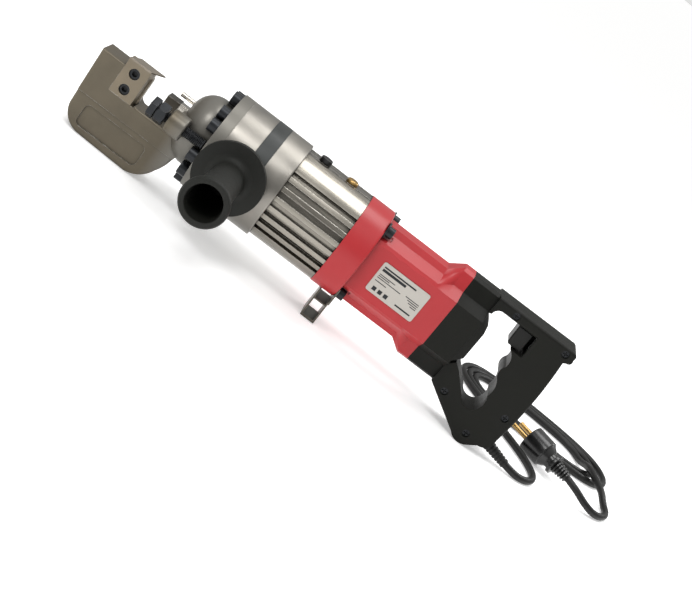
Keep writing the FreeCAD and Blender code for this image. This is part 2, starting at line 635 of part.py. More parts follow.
def handle_outline():
    return [
        (CAP_END_X, BEAM_TOP_Z),
        ("line", 356.5, BEAM_TOP_Z + 0.6),
        ("arc", 359.2, 47.2, 360.4, 44.5),
        ("line", 360.2, 40.5),
        ("arc", 359.2, 37.9, 356.6, 36.9),
        ("line", 354.4, 35.5),
        ("arc", 357.6, 0.0, 355.6, -60.0),
        ("arc", 352.6, -68.0, 345.0, -71.5),
        ("arc", 341.5, -74.2, 337.0, -77.4),
        ("arc", 330.4, -80.03, 320.5, -77.1),
        ("line", CAP_END_X, -49.6),
        ("line", CAP_END_X, -29.0),
        ("line", 283.0, -22.0),
        ("line", 288.5, -26.0),
        ("line", 305.5, -43.4),
        ("arc", 313.5, -49.6, 321.5, -47.6),
        ("arc", 325.4, -38.0, 323.0, -29.5),
        ("arc", 323.4, -20.0, 319.0, -11.0),
        ("arc", 316.6, -5.0, 318.6, 1.5),
        ("arc", 318.0, 9.0, 311.5, 16.6),
        ("line", 323.5, 16.6),
        ("line", 323.5, 38.2),
        ("line", 287.0, 38.2),
        ("arc", 281.5, 36.0, 279.6, 31.5),
        ("line", CAP_END_X, 30.8),
    ]


def handle_half(side):
    y0, y1 = (-HANDLE_HALF, 0.0) if side < 0 else (0.0, HANDLE_HALF)
    shell = outline_y(handle_outline(), y0, y1)
    outer_y = y0 if side < 0 else y1
    shell = rounded(shell, 2.5, lambda e: abs(edge_middle(e).y - outer_y) < 0.01
                    and (edge_middle(e).z > 41 or e.Length > 90
                         or (edge_middle(e).z < -60 and e.Length > 50)
                         or (edge_middle(e).z > 38 and e.Length > 30)))
    low, high = (y0 + WALL, y1 + EXTRA) if side < 0 else (y0 - EXTRA, y1 - WALL)
    tools = [box(326.0, 352.0, low, high, -36.0, 34.0),
             box(306.0, 326.5, low, high, 17.5, 37.0),
             rod_y(min(low, high), max(low, high), 9.0, 337.0, -57.0)]
    for x, z in HANDLE_SCREWS:
        tools.append(rod_y(y0 - EXTRA, y1 + EXTRA, 2.0, x, z))
        if side < 0:
            tools.append(rod_y(y0 - EXTRA, y0 + 4.5, 3.6, x, z))
    tools.append(boot_hole())
    return cut_all(shell, tools)


def handle_screws():
    screws = []
    for x, z in HANDLE_SCREWS:
        head = rod_y(-HANDLE_HALF + 1.9, -HANDLE_HALF + 4.5, 3.5, x, z)
        shank = rod_y(-HANDLE_HALF + 4.5, 12.0, 2.0, x, z)
        slots = box(x - 2.4, x + 2.4, -HANDLE_HALF, -HANDLE_HALF + 3.4, z - 0.5, z + 0.5)
        slots = slots.fuse(box(x - 0.5, x + 0.5, -HANDLE_HALF, -HANDLE_HALF + 3.4, z - 2.4, z + 2.4))
        screws.append(head.fuse(shank).removeSplitter().cut(slots))
    return Part.makeCompound(screws)


def boot_hole():
    direction = Vector(*BOOT_DIRECTION)
    return Part.makeCylinder(BOOT_R, 40.0, Vector(*BOOT_START), direction)


def trigger():
    """Paddle that slides into the grip, in front of the switch."""
    paddle = outline_y([
        (305.4, 36.4),
        ("line", 306.2, 19.8),
        ("arc", 307.2, 18.4, 309.0, 18.1),
        ("line", 320.0, 18.1),
        ("line", 320.0, 36.4),
    ], -10.0, 10.0)
    paddle = rounded(paddle, 2.0, lambda e: abs(abs(edge_middle(e).y) - 10.0) < 0.01 and edge_middle(e).x < 306.5)
    return paddle


def switch_body():
    return box(327.5, 350.0, -11.0, 11.0, 4.0, 33.0)


# ---------- auxiliary handle ----------

def aux_handle_grip():
    profile = [
        ("line", AUX_DISC_R, AUX_DISC_Y + 5.0),
        ("line", AUX_DISC_R, AUX_DISC_Y),
        ("line", 21.0, AUX_DISC_Y),
        ("arc", 16.6, AUX_DISC_Y - 1.8, AUX_GRIP_R + 0.6, AUX_DISC_Y - 7.0),
        ("arc", 15.6, -115.0, 17.2, AUX_END_Y + 12.0),
        ("arc", 18.2, AUX_END_Y + 7.5, AUX_LIP_R, AUX_END_Y + 5.0),
        ("arc", AUX_LIP_R + 0.6, AUX_END_Y + 2.5, AUX_LIP_R - 0.8, AUX_END_Y),
        ("line", AUX_BORE_R + 1.2, AUX_END_Y),
        ("arc", AUX_BORE_R + 0.3, AUX_END_Y + 0.4, AUX_BORE_R, AUX_END_Y + 1.4),
        ("line", 11.0, -84.0),
        ("line", 0.0, -84.0),
        ("line", 0.0, -54.0),
        ("line", 12.0, -54.0),
        ("line", 12.0, AUX_DISC_Y + 5.0),
    ]
    here = Vector(12.0, AUX_DISC_Y + 5.0, 0)
    edges = []
    for piece in profile:
        there = Vector(piece[-2], piece[-1], 0)
        if piece[0] == "arc":
            edges.append(Part.Arc(here, Vector(piece[1], piece[2], 0), there).toShape())
        else:
            edges.append(Part.LineSegment(here, there).toShape())
        here = there
    grip = Part.Face(Part.Wire(edges)).revolve(Vector(0, 0, 0), Vector(0, 1, 0), 360)
    grip.translate(Vector(AUX_X, 0, 0))
    grip = Part.Solid(grip.Shells[0]) if grip.ShapeType != "Solid" else grip
    return grip.cut(rod_y(-80.0, -50.0, AUX_STUD_R, AUX_X))


def aux_handle_stud():
    stud = rod_y(-80.0, -36.0, AUX_STUD_R, AUX_X)
    nut = rod_y(-54.0, -FLANGE_R - 0.4, 11.0, AUX_X)
    return stud.fuse(nut).removeSplitter()


# ---------- motor, gear and pump ----------

def gear_outline(teeth, module):
    """Straight-sided teeth, thin enough to leave the backlash that the pair needs."""
    pitch_r = teeth * module / 2.0
    root_r = pitch_r - 1.25 * module
    tip_r = pitch_r + 0.85 * module
    pitch_angle = 2 * math.pi / teeth
    points = []
    for tooth in range(teeth):
        middle = tooth * pitch_angle
        for radius, share in ((root_r, -0.27), (tip_r, -0.11), (tip_r, 0.11), (root_r, 0.27)):
            angle = middle + share * pitch_angle
            points.append((radius * math.sin(angle), radius * math.cos(angle)))
    return points


def pinion():
    points = gear_outline(PINION_TEETH, GEAR_MODULE)
    turn = math.pi / PINION_TEETH
    turned = [(y * math.cos(turn) - z * math.sin(turn), y * math.sin(turn) + z * math.cos(turn)) for y, z in points]
    gear = section_x([(y, -z) for y, z in turned], GEAR_X - 0.5, GEAR_X + GEAR_WIDTH + 0.5)
    return gear.cut(rod_x(GEAR_X - 2, GEAR_X + GEAR_WIDTH + 2, 3.0))


def armature_shaft():
    thin = rod_x(GEAR_X - 0.5, GEAR_X + GEAR_WIDTH + 0.5, 3.0)
    return thin.fuse(rod_x(GEAR_X + GEAR_WIDTH + 0.5, 277.0, SHAFT_R)).removeSplitter()


def armature_core():
    core = rod_x(182.0, 222.0, 20.0).cut(rod_x(180.0, 224.0, SHAFT_R))
    slots = []
    for step in range(12):
        slot = box(181.0, 223.0, -1.2, 1.2, 13.0, 21.0)
        slot.rotate(Vector(0, 0, 0), Vector(1, 0, 0), 30 * step)
        slots.append(slot)
    return cut_all(core, slots)


def armature_windings():
    heads = [tube_x(174.0, 182.0, 16.0, SHAFT_R), tube_x(222.0, 230.0, 16.0, SHAFT_R)]
    return Part.makeCompound(heads)


def commutator():
    return tube_x(232.0, 247.0, 11.0, SHAFT_R)


def cooling_fan():
    hub = tube_x(166.5, 173.5, 9.0, SHAFT_R)
    disc = tube_x(171.5, 173.5, 22.0, SHAFT_R)
    blades = []
    for step in range(9):
        blade = box(166.5, 172.0, -0.8, 0.8, 8.0, 22.0)
        blade.rotate(Vector(0, 0, 0), Vector(1, 0, 0), 40 * step)
        blades.append(blade)
    return fuse([hub, disc] + blades)


def wheel():
    gear = section_x(gear_outline(WHEEL_TEETH, GEAR_MODULE), GEAR_X, GEAR_X + GEAR_WIDTH)
    gear = gear.cut(rod_x(GEAR_X - EXTRA, GEAR_X + GEAR_WIDTH + EXTRA, 5.0))
    gear.translate(Vector(0, 0, -CENTRE_DISTANCE))
    return gear


def eccentric_shaft():
    """Shaft of the gear wheel with an offset journal that drives the pump plunger."""
    z = -CENTRE_DISTANCE
    pieces = [rod_x(92.0, GEAR_X + GEAR_WIDTH + 6.0, 5.0, 0, z),
              rod_x(104.0, 112.0, 8.5, 0, z + ECCENTRIC_OFFSET)]
    return fuse(pieces)


def bearing(x, width, outer, inner, z=0.0):
    return tube_x(x, x + width, outer, inner, 0, z)


def gearbox_plate():
    """Bracket between barrel and motor that carries the shaft bearings."""
    plate = rod_x(BARREL_END_X + 16.5, BARREL_END_X + 20.5, GEAR_CASE_R)
    return cut_all(plate, [rod_x(150.0, 165.0, 11.0), rod_x(150.0, 165.0, 6.5, 0, -CENTRE_DISTANCE)])


def pump_block():
    """Block behind the cylinder with the plunger bore and the eccentric's front bearing bore."""
    block = rod_x(COLLAR_END_X, 100.0, 30.6)
    bores = [rod_x(90.0, 101.0, 6.5, 0, -CENTRE_DISTANCE), rod_x(71.0, 101.0, 4.0, 0, 10.0)]
    arm = box(99.0, 116.0, -10.0, 10.0, 4.0, 24.0)
    plunger_bore = rod_z(0.0, 25.0, 4.05, 108.0)
    return cut_all(block.fuse(arm).removeSplitter(), bores + [plunger_bore])


def pump_plunger():
    top_of_journal = -CENTRE_DISTANCE + ECCENTRIC_OFFSET + 8.5 + ECCENTRIC_OFFSET + 0.6
    return rod_z(top_of_journal, 20.0, 4.0, 108.0)


def stator_core():
    outer = section_x([(y * 0.985, z * 0.985) for y, z in waist_points(WALL)], 184.0, 220.0)
    return outer.cut(rod_x(183.0, 221.0, 20.8))


def field_coils():
    coils = []
    for side in (-1, 1):
        for x0 in (178.5, 220.0):
            z0, z1 = (21.5, 29.0) if side > 0 else (-29.0, -21.5)
            coils.append(box(x0, x0 + 5.5, -8.5, 8.5, z0, z1))
    return Part.makeCompound(coils)


def brush_gear():
    holders = []
    for side in (-1, 1):
        holder = box(236.0, 244.0, -3.5, 3.5, 11.4, 24.0)
        if side < 0:
            holder = holder.mirror(Vector(0, 0, 0), Vector(0, 0, 1))
        holders.append(holder)
    return Part.makeCompound(holders)


def oil_bladder():
    return tube_x(118.0, 136.0, 30.2, 27.6)


# ---------- mains lead ----------

def cord_boot():
    """Strain relief: a plain length held in the shells, then a taper down to the lead."""
    direction = Vector(*BOOT_DIRECTION).normalize()
    start = Vector(*BOOT_START)
    anchor = Part.makeCylinder(BOOT_R, BOOT_STRAIGHT, start, direction)
    taper_start = start + direction * BOOT_STRAIGHT
    taper = Part.makeCone(BOOT_R, BOOT_END_R, BOOT_LENGTH - BOOT_STRAIGHT, taper_start, direction)
    return anchor.fuse(taper).removeSplitter()


def run_and_arc_tube(points, radius):
    """Tube along straight runs that are joined by tangent arcs, each as large as its two runs allow."""
    vectors = [Vector(*point) for point in points]
    edges = []
    here = vectors[0]
    for before, corner, after in zip(vectors, vectors[1:], vectors[2:]):
        into = corner - before
        out = after - corner
        turn = into.getAngle(out)
        reach = 0.45 * min(into.Length, out.Length)
        arc_radius = reach / math.tan(turn / 2)
        into.normalize()
        out.normalize()
        arc_start = corner - into * reach
        arc_end = corner + out * reach
        inwards = out - into
        inwards.normalize()
        middle = corner + inwards * (arc_radius / math.cos(turn / 2) - arc_radius)
        print(f"  arc radius {arc_radius:.0f}, turn {math.degrees(turn):.0f}")
        edges.append(Part.LineSegment(here, arc_start).toShape())
        edges.append(Part.Arc(arc_start, middle, arc_end).toShape())
        here = arc_end
    edges.append(Part.LineSegment(here, vectors[-1]).toShape())
    path = Part.Wire(edges)
    direction = vectors[1] - vectors[0]
    profile = Part.Wire(Part.Circle(vectors[0], direction, radius).toShape())
    tube = path.makePipeShell([profile], True, False)
    expected = math.pi * radius ** 2 * path.Length
    print(f"  path {path.Length:.0f} mm, volume {tube.Volume:.0f} against {expected:.0f}")
    return tube


def cord_coil():
    """Outer shape of the loose turns: a flat, irregular ring."""
    return coil_prism(COIL_OUTSIDE, 0.0, COIL_HEIGHT).cut(coil_prism(COIL_INSIDE, -EXTRA, COIL_HEIGHT + EXTRA))


def coil_prism(points, z0, z1):
    curve = Part.BSplineCurve()
    curve.interpolate([Vector(x, y, z0) for x, y in points], PeriodicFlag=True)
    return Part.Face(Part.Wire(curve.toShape())).extrude(Vector(0, 0, z1 - z0))


def plug_body():
    pieces = []
    for start, length, r0, r1 in ((0.0, 22.0, PLUG_R, PLUG_R), (22.0, 6.0, PLUG_R, 8.5), (28.0, 5.0, 8.5, 8.0),
                                  (33.0, 3.0, 10.5, 10.5), (36.0, 17.0, 7.0, 5.0)):
        origin = PLUG_FRONT + PLUG_AXIS * start
        if r0 == r1:
            pieces.append(Part.makeCylinder(r0, length, origin, PLUG_AXIS))
        else:
            pieces.append(Part.makeCone(r0, r1, length, origin, PLUG_AXIS))
    return fuse(pieces)


def plug_pins():
    across = Vector(-PLUG_AXIS.y, PLUG_AXIS.x, 0)
    pins = []
    for side in (-1, 1):
        start = PLUG_FRONT + across * (side * 9.5) - PLUG_AXIS * 18.5
        pins.append(Part.makeCylinder(2.4, 18.5, start, PLUG_AXIS))
    return Part.makeCompound(pins)


def build():
    z = -CENTRE_DISTANCE
    export("jaw_frame", jaw_frame())
    export("fixed_blade", fixed_blade())
    export("fixed_blade_screws", fixed_blade_screws())
    export("blade_guard", blade_guard())
    export("head_bolts", head_bolts())
    export("guide_pin", guide_pin())
    export("ram", ram())
    export("moving_blade", moving_blade())
    export("moving_blade_screw", moving_blade_screw())
    export("piston_seal", piston_seal())
    export("return_spring", return_spring())
    export("stopper_bolt", stopper_bolt())
    export("stopper_nut", stopper_nut())
    export("pump_cylinder", pump_cylinder())
    export("collar_band", collar_band())
    export("pump_barrel", pump_barrel())
    export("release_valve", release_valve())
    export("oil_plug", oil_plug())
    export("oil_bladder", oil_bladder())
    export("pump_block", pump_block())
    export("pump_plunger", pump_plunger())
    export("eccentric_shaft", eccentric_shaft())
    export("gear_wheel", wheel())
    export("eccentric_front_bearing", bearing(92.0, 6.0, 6.5, 5.05, z))
    export("eccentric_rear_bearing", bearing(BARREL_END_X + 16.5, 4.0, 6.5, 5.05, z))
    export("gearbox_plate", gearbox_plate())
    export("motor_front_bearing", bearing(BARREL_END_X + 16.5, 7.0, 11.0, SHAFT_R + 0.05))
    export("motor_rear_bearing", bearing(CAP_END_X - 5.0, 7.0, 11.0, SHAFT_R + 0.05))
    export("armature_shaft", armature_shaft())
    export("motor_pinion", pinion())
    export("armature_core", armature_core())
    export("armature_windings", armature_windings())
    export("commutator", commutator())
    export("cooling_fan", cooling_fan())
    export("stator_core", stator_core())
    export("field_coils", field_coils())
    export("brush_gear", brush_gear())
    export("motor_housing", motor_housing())
    export("housing_screws", housing_screws())
    export("screw_plates", screw_plates())
    export("support_foot", support_foot())
    export("rating_plate", rating_plate())
    export("rear_cap", rear_cap())
    export("handle_near_shell", handle_half(-1))
    export("handle_far_shell", handle_half(1))
    export("handle_screws", handle_screws())
    export("trigger", trigger())
    export("switch_body", switch_body())
    export("aux_handle_grip", aux_handle_grip())
    export("aux_handle_stud", aux_handle_stud())
    export("cord_boot", cord_boot())
    write("cord_lead", run_and_arc_tube(CORD_LEAD, CORD_R))
    write("cord_coil", cord_coil())
    write("cord_tail", run_and_arc_tube(CORD_TAIL, CORD_R))
    write("plug_body", plug_body())
    write("plug_pins", plug_pins())


build()
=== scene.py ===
import json
import math

import bmesh
import bpy
from mathutils import Matrix, Vector


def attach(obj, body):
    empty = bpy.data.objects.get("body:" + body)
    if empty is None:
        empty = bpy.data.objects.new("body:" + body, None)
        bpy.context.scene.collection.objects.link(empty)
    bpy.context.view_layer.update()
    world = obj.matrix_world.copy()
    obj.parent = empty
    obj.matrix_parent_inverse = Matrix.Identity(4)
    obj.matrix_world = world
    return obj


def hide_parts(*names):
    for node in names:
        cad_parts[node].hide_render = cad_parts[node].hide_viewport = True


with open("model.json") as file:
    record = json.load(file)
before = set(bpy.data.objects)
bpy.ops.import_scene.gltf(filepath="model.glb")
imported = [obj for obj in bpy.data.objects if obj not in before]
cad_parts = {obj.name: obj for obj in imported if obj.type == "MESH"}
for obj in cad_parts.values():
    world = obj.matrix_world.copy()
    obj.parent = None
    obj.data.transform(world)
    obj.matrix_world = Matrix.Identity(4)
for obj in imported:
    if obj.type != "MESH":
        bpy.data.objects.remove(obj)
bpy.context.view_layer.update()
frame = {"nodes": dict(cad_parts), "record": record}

# --- camera: a three-quarter view from the side-handle side, rolled so that the tool climbs to the right ---
CAMERA_TARGET = Vector((0.2464, 0.0, 0.032))
CAMERA_DISTANCE = 1.25
CAMERA_AZIMUTH = math.radians(5.17)
CAMERA_ELEVATION = math.radians(17.84)
CAMERA_ROLL = math.radians(40.69)
CAMERA_LENS = 74.13

# --- tool frame, as the CAD places it: the ram axis rises slightly towards the handle ---
TABLE_PITCH = math.radians(1.88)
FOOT = Vector((-0.072, 0.0, -0.067))

# --- mains lead, in metres ---
CORD_DIAMETER = 0.007
CORD_LEAD = (
    (0.4500, 0.0, 0.00636), (0.462, 0.0, 0.0039), (0.475, 0.005, 0.0035), (0.484, 0.017, 0.0035),
    (0.486, 0.033, 0.0035), (0.479, 0.050, 0.0035), (0.466, 0.066, 0.0035), (0.450, 0.080, 0.0035),
    (0.437, 0.097, 0.0035), (0.424, 0.110, 0.0035),
)
CORD_EXIT_FROM_COIL = (
    (0.5465, 0.1600, 0.0036), (0.5500, 0.1455, 0.0095), (0.5530, 0.1320, 0.0122), (0.5590, 0.1180, 0.0120),
    (0.5665, 0.1045, 0.0110), (0.5730, 0.0930, 0.0050),
)
CORD_TAIL = (
    (0.577, 0.080, 0.0035), (0.571, 0.064, 0.0035), (0.559, 0.053, 0.0045), (0.544, 0.049, 0.0085),
    (0.5308, 0.052, 0.013), (0.51938, 0.05835, 0.0141),
)
COIL_TURNS = 2.45
COIL_START_ANGLE = math.radians(208)
COIL_LEFT = (0.392, 0.4110)     # each pair: outermost turn, innermost turn
COIL_RIGHT = (0.588, 0.5480)
COIL_NEAR = (0.109, 0.1283)
COIL_FAR = (0.202, 0.1834)
COIL_REST_Z = 0.0036
COIL_END_SOFTNESS = 0.12        # how gradually a turn's straight run goes over into its round end
COIL_RUN_STRETCH = 1.05
POINTS_PER_TURN = 14
PLUG_FRONT = Vector((0.473, 0.084, 0.0141))
PLUG_AXIS = Vector((0.875, -0.484, 0.0)).normalized()
PLUG_RIBS = 5
BOOT_START = (338.0, 0.0, -65.5)    # tool frame, millimetres
BOOT_DIRECTION = Vector((0.97, 0.0, -0.24)).normalized()
BOOT_RINGS = 6

# --- bar stopper, in the tool frame in millimetres ---
STOPPER_Y = -40.0
STOPPER_Z = 2.0
STOPPER_FRONT_X = -55.9
STOPPER_HEAD_END_X = -49.6
STOPPER_ACROSS_FLATS = 17.0
THREAD_PITCH = 1.5
THREAD_CREST_R = 5.0
THREAD_ROOT_R = 4.2
THREAD_START = 7.0              # distances from the front of the head
THREAD_END = 54.0
THREAD_TIP = 54.7

# --- plain marks on the rating plate, in the tool frame in millimetres ---
LABEL_DEPTH_Y = -27.86
LABEL_BARS = (                  # height above the axis, start, end, half thickness
    (10.5, 181.5, 215.0, 0.7), (7.6, 181.5, 206.0, 1.2), (3.0, 181.5, 198.0, 0.35),
    (1.4, 181.5, 193.0, 0.35), (-0.4, 181.5, 206.0, 0.35), (-3.6, 181.5, 193.0, 0.35),
    (1.0, 211.0, 225.0, 0.35), (-0.8, 214.0, 225.0, 0.35), (-2.6, 216.0, 225.0, 0.35),
    (-4.4, 219.0, 225.0, 0.35), (-11.0, 208.0, 224.0, 0.7),
)
LABEL_SQUARES_X = (185.5, 191.5, 197.5)
LABEL_SQUARES_Z = -10.5
LABEL_SQUARE_HALF = 1.9


TO_ROW = Matrix.Rotation(-TABLE_PITCH, 3, "Y")
TOOL_AXIS = TO_ROW @ Vector((1, 0, 0))


def to_row(x, y, z):
    """A point of the tool frame, given in millimetres, in the row frame in metres."""
    return TO_ROW @ (Vector((x, y, z)) / 1000 - FOOT)


def add_piece(name, mesh):
    """Turns a finished bmesh into an object in the scene."""
    data = bpy.data.meshes.new(name)
    mesh.to_mesh(data)
    mesh.free()
    piece = bpy.data.objects.new(name, data)
    bpy.context.scene.collection.objects.link(piece)
    return piece


def add_camera():
    forward = Vector((
        math.sin(CAMERA_AZIMUTH) * math.cos(CAMERA_ELEVATION),
        math.cos(CAMERA_AZIMUTH) * math.cos(CAMERA_ELEVATION),
        -math.sin(CAMERA_ELEVATION),
    ))
    level_right = forward.cross(Vector((0, 0, 1))).normalized()
    level_up = level_right.cross(forward)
    right = level_right * math.cos(CAMERA_ROLL) + level_up * math.sin(CAMERA_ROLL)
    up = right.cross(forward)
    data = bpy.data.cameras.new("camera")
    data.lens = CAMERA_LENS
    data.sensor_width = 36.0
    camera = bpy.data.objects.new("camera", data)
    rotation = Matrix((right, up, -forward)).transposed()
    camera.matrix_world = Matrix.Translation(CAMERA_TARGET - forward * CAMERA_DISTANCE) @ rotation.to_4x4()
    bpy.context.scene.collection.objects.link(camera)
    bpy.context.scene.camera = camera


# ---------- mains lead ----------

def between(pair, progress):
    return pair[0] + (pair[1] - pair[0]) * progress


def coil_points():
    """Flat turns with round ends, from the outermost inwards, bunched at the left and fanned at the right."""
    points = []
    steps = int(COIL_TURNS * POINTS_PER_TURN)
    for step in range(steps + 1):
        progress = step / steps
        angle = COIL_START_ANGLE - 2 * math.pi * COIL_TURNS * progress
        left = between(COIL_LEFT, progress)
        right = between(COIL_RIGHT, progress)
        near = between(COIL_NEAR, progress)
        far = between(COIL_FAR, progress)
        end_radius = (far - near) / 2
        half_run = (right - left) / 2 - end_radius
        side = math.cos(angle) / math.sqrt(math.cos(angle) ** 2 + COIL_END_SOFTNESS)
        x = (left + right) / 2 + end_radius * math.cos(angle) + half_run * side * COIL_RUN_STRETCH
        y = (near + far) / 2 + end_radius * math.sin(angle)
        points.append((x, y, COIL_REST_Z))
    return points


def add_cord():
    points = list(CORD_LEAD) + coil_points() + list(CORD_EXIT_FROM_COIL) + list(CORD_TAIL)
    data = bpy.data.curves.new("mains_lead", "CURVE")
    data.dimensions = "3D"
    spline = data.splines.new("NURBS")
    spline.points.add(len(points) - 1)
    for point, place in zip(spline.points, points):
        point.co = (*place, 1.0)
        point.radius = CORD_DIAMETER / 2
    spline.order_u = 3
    spline.use_endpoint_u = True
    spline.resolution_u = 8
    cord = bpy.data.objects.new("mains_lead", data)
    bpy.context.scene.collection.objects.link(cord)
    line = bpy.data.meshes.new_from_object(cord)
    length = sum((line.vertices[edge.vertices[0]].co - line.vertices[edge.vertices[1]].co).length
                 for edge in line.edges)
    data.bevel_depth = 1.0      # times the points' radius, which keeps the curve's bounds tight
    data.bevel_resolution = 5
    return cord, length


# ---------- turned pieces ----------

SHARP_ANGLE = math.radians(28)
SMALLEST_RADIUS = 0.00002       # of a ring that closes a piece on its axis
FILLET_STEPS = 5


def turned(name, profile, origin, axis, sides=64):
    """A closed shape of revolution: profile is (distance along axis, radius) in metres, from tip to tail."""
    mesh = bmesh.new()
    axis = axis.normalized()
    across = axis.orthogonal().normalized()
    other = axis.cross(across)
    rings = []
    for along, radius in profile:
        ring = []
        for side in range(sides):
            angle = 2 * math.pi * side / sides
            spoke = across * math.cos(angle) + other * math.sin(angle)
            ring.append(mesh.verts.new(origin + axis * along + spoke * max(radius, SMALLEST_RADIUS)))
        rings.append(ring)
    for low, high in zip(rings, rings[1:]):
        for side in range(sides):
            after = (side + 1) % sides
            mesh.faces.new((low[side], low[after], high[after], high[side]))
    mesh.faces.new(list(reversed(rings[0])))
    mesh.faces.new(rings[-1])
    bmesh.ops.recalc_face_normals(mesh, faces=mesh.faces)
    piece = add_piece(name, mesh)
    for polygon in piece.data.polygons:
        polygon.use_smooth = True
    piece.data.set_sharp_from_angle(angle=SHARP_ANGLE)
    return piece


def quarter_turn():
    return [math.pi / 2 * step / FILLET_STEPS for step in range(FILLET_STEPS + 1)]


def edge_up(along, radius, fillet):
    """Profile points of a face that rises to radius at along and turns backwards over a round edge."""
    return [(along + fillet * (1 - math.cos(turn)), radius - fillet * (1 - math.sin(turn)))
            for turn in quarter_turn()]


def edge_down(along, radius, fillet):
    """Profile points of a side of that radius that turns inwards over a round edge and ends at along."""
    return [(along - fillet * (1 - math.sin(turn)), radius - fillet * (1 - math.cos(turn)))
            for turn in quarter_turn()]


def dress(piece, body, slot_name, materials, *stands_for):
    """Rides the piece on its body, gives it the material named by its slot and hides the nodes that it stands
    for.
    """
    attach(piece, body)
    if stands_for:
        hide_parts(*stands_for)
    piece.data.materials.append(materials[slot_name])


def add_plug(materials):
    """Round two-pin plug: smooth body, neck, collar and a ribbed relief."""
    profile = [(0.0, 0.0)] + edge_up(0.0, 0.014, 0.0012) + edge_down(0.0225, 0.014, 0.0016)
    profile += [(0.0265, 0.0100), (0.0285, 0.0082), (0.0325, 0.0080)]
    profile += edge_up(0.0325, 0.0103, 0.0006) + edge_down(0.0362, 0.0103, 0.0006)
    for rib in range(PLUG_RIBS):
        start = 0.0375 + 0.0031 * rib
        radius = 0.0068 - 0.0004 * rib
        groove = radius - 0.0016
        profile += [(start, groove), (start + 0.0005, radius), (start + 0.0019, radius),
                    (start + 0.0024, groove)]
    profile += [(0.0528, 0.0037)]
    plug = turned("plug_shell", profile, PLUG_FRONT, PLUG_AXIS)
    dress(plug, "tool_body", "plug_plastic", materials, "plug_body")
    return plug


def add_boot(materials):
    """Long tapered strain relief with shallow rings."""
    profile = [(0.0, 0.0), (0.0, 0.0056), (0.018, 0.0056)]
    for ring in range(BOOT_RINGS):
        start = 0.0195 + 0.0036 * ring
        radius = 0.0055 - 0.0002 * ring
        groove = radius - 0.0007
        profile += [(start, radius), (start + 0.0006, groove), (start + 0.0014, groove),
                    (start + 0.0020, radius - 0.0001)]
    profile += [(0.0415, 0.0043), (0.042, 0.0037)]
    boot = turned("lead_boot", profile, to_row(*BOOT_START), TO_ROW @ BOOT_DIRECTION)
    dress(boot, "tool_body", "cord_rubber", materials, "cord_boot")
    return boot


def add_stopper_screw(materials):
    """Hexagon-headed stopper with its thread cut as rings at the thread's pitch."""
    profile = [(0.0, 0.0), (0.0, THREAD_CREST_R / 1000)]
    for turn in range(int((THREAD_END - THREAD_START) / THREAD_PITCH)):
        along = THREAD_START + turn * THREAD_PITCH
        profile.append((along / 1000, THREAD_CREST_R / 1000))
        profile.append(((along + THREAD_PITCH / 2) / 1000, THREAD_ROOT_R / 1000))
    profile += [(THREAD_END / 1000, THREAD_CREST_R / 1000), (THREAD_TIP / 1000, THREAD_ROOT_R / 1000)]
    front = to_row(STOPPER_FRONT_X, STOPPER_Y, STOPPER_Z)
    thread = turned("stopper_thread", profile, front, TOOL_AXIS, sides=40)
    dress(thread, "stopper_bolt_body", "black_oxide", materials, "stopper_bolt")
    head = hexagon("stopper_head", STOPPER_FRONT_X, STOPPER_HEAD_END_X, STOPPER_ACROSS_FLATS,
                   STOPPER_Y, STOPPER_Z)
    dress(head, "stopper_bolt_body", "black_oxide", materials)


def hexagon(name, x0, x1, across_flats, y, z):
    """Hexagonal prism with a chamfered front, in the tool frame in millimetres."""
    mesh = bmesh.new()
    corner = across_flats / math.sqrt(3)
    chamfer = 0.9
    rings = []
    for x, radius in ((x0, corner - chamfer), (x0 + chamfer * 0.6, corner), (x1, corner)):
        ring = []
        for side in range(6):
            angle = math.pi / 3 * side
            corner_place = to_row(x, y + radius * math.sin(angle), z + radius * math.cos(angle))
            ring.append(mesh.verts.new(corner_place))
        rings.append(ring)
    for low, high in zip(rings, rings[1:]):
        for side in range(6):
            after = (side + 1) % 6
            mesh.faces.new((low[side], low[after], high[after], high[side]))
    mesh.faces.new(rings[0])
    mesh.faces.new(rings[-1])
    bmesh.ops.recalc_face_normals(mesh, faces=mesh.faces)
    piece = add_piece(name, mesh)
    bevel = piece.modifiers.new("edges", "BEVEL")
    bevel.width = 0.0003
    bevel.segments = 2
    return piece


def add_mark(mesh, x0, x1, z0, z1):
    corners = ((x0, z0), (x1, z0), (x1, z1), (x0, z1))
    mesh.faces.new([mesh.verts.new(to_row(x, LABEL_DEPTH_Y, z)) for x, z in corners])


def add_label_marks(materials):
    """Generic plain bars and squares on the rating plate."""
    mesh = bmesh.new()
    for z, x0, x1, half in LABEL_BARS:
        add_mark(mesh, x0, x1, z - half, z + half)
    for x in LABEL_SQUARES_X:
        add_mark(mesh, x - LABEL_SQUARE_HALF, x + LABEL_SQUARE_HALF, LABEL_SQUARES_Z - LABEL_SQUARE_HALF,
                 LABEL_SQUARES_Z + LABEL_SQUARE_HALF)
    marks = add_piece("label_marks", mesh)
    thick = marks.modifiers.new("thickness", "SOLIDIFY")
    thick.thickness = 0.00008
    dress(marks, "tool_body", "black_oxide", materials)


# ---------- materials ----------

def noise(tree, vector, scale, detail):
    node = tree.nodes.new("ShaderNodeTexNoise")
    node.inputs["Scale"].default_value = scale
    node.inputs["Detail"].default_value = detail
    tree.links.new(vector, node.inputs["Vector"])
    return node.outputs["Fac"]


def mapped(tree, value, low, high, to_low, to_high):
    node = tree.nodes.new("ShaderNodeMapRange")
    node.inputs["From Min"].default_value = low
    node.inputs["From Max"].default_value = high
    node.inputs["To Min"].default_value = to_low
    node.inputs["To Max"].default_value = to_high
    tree.links.new(value, node.inputs["Value"])
    return node.outputs["Result"]


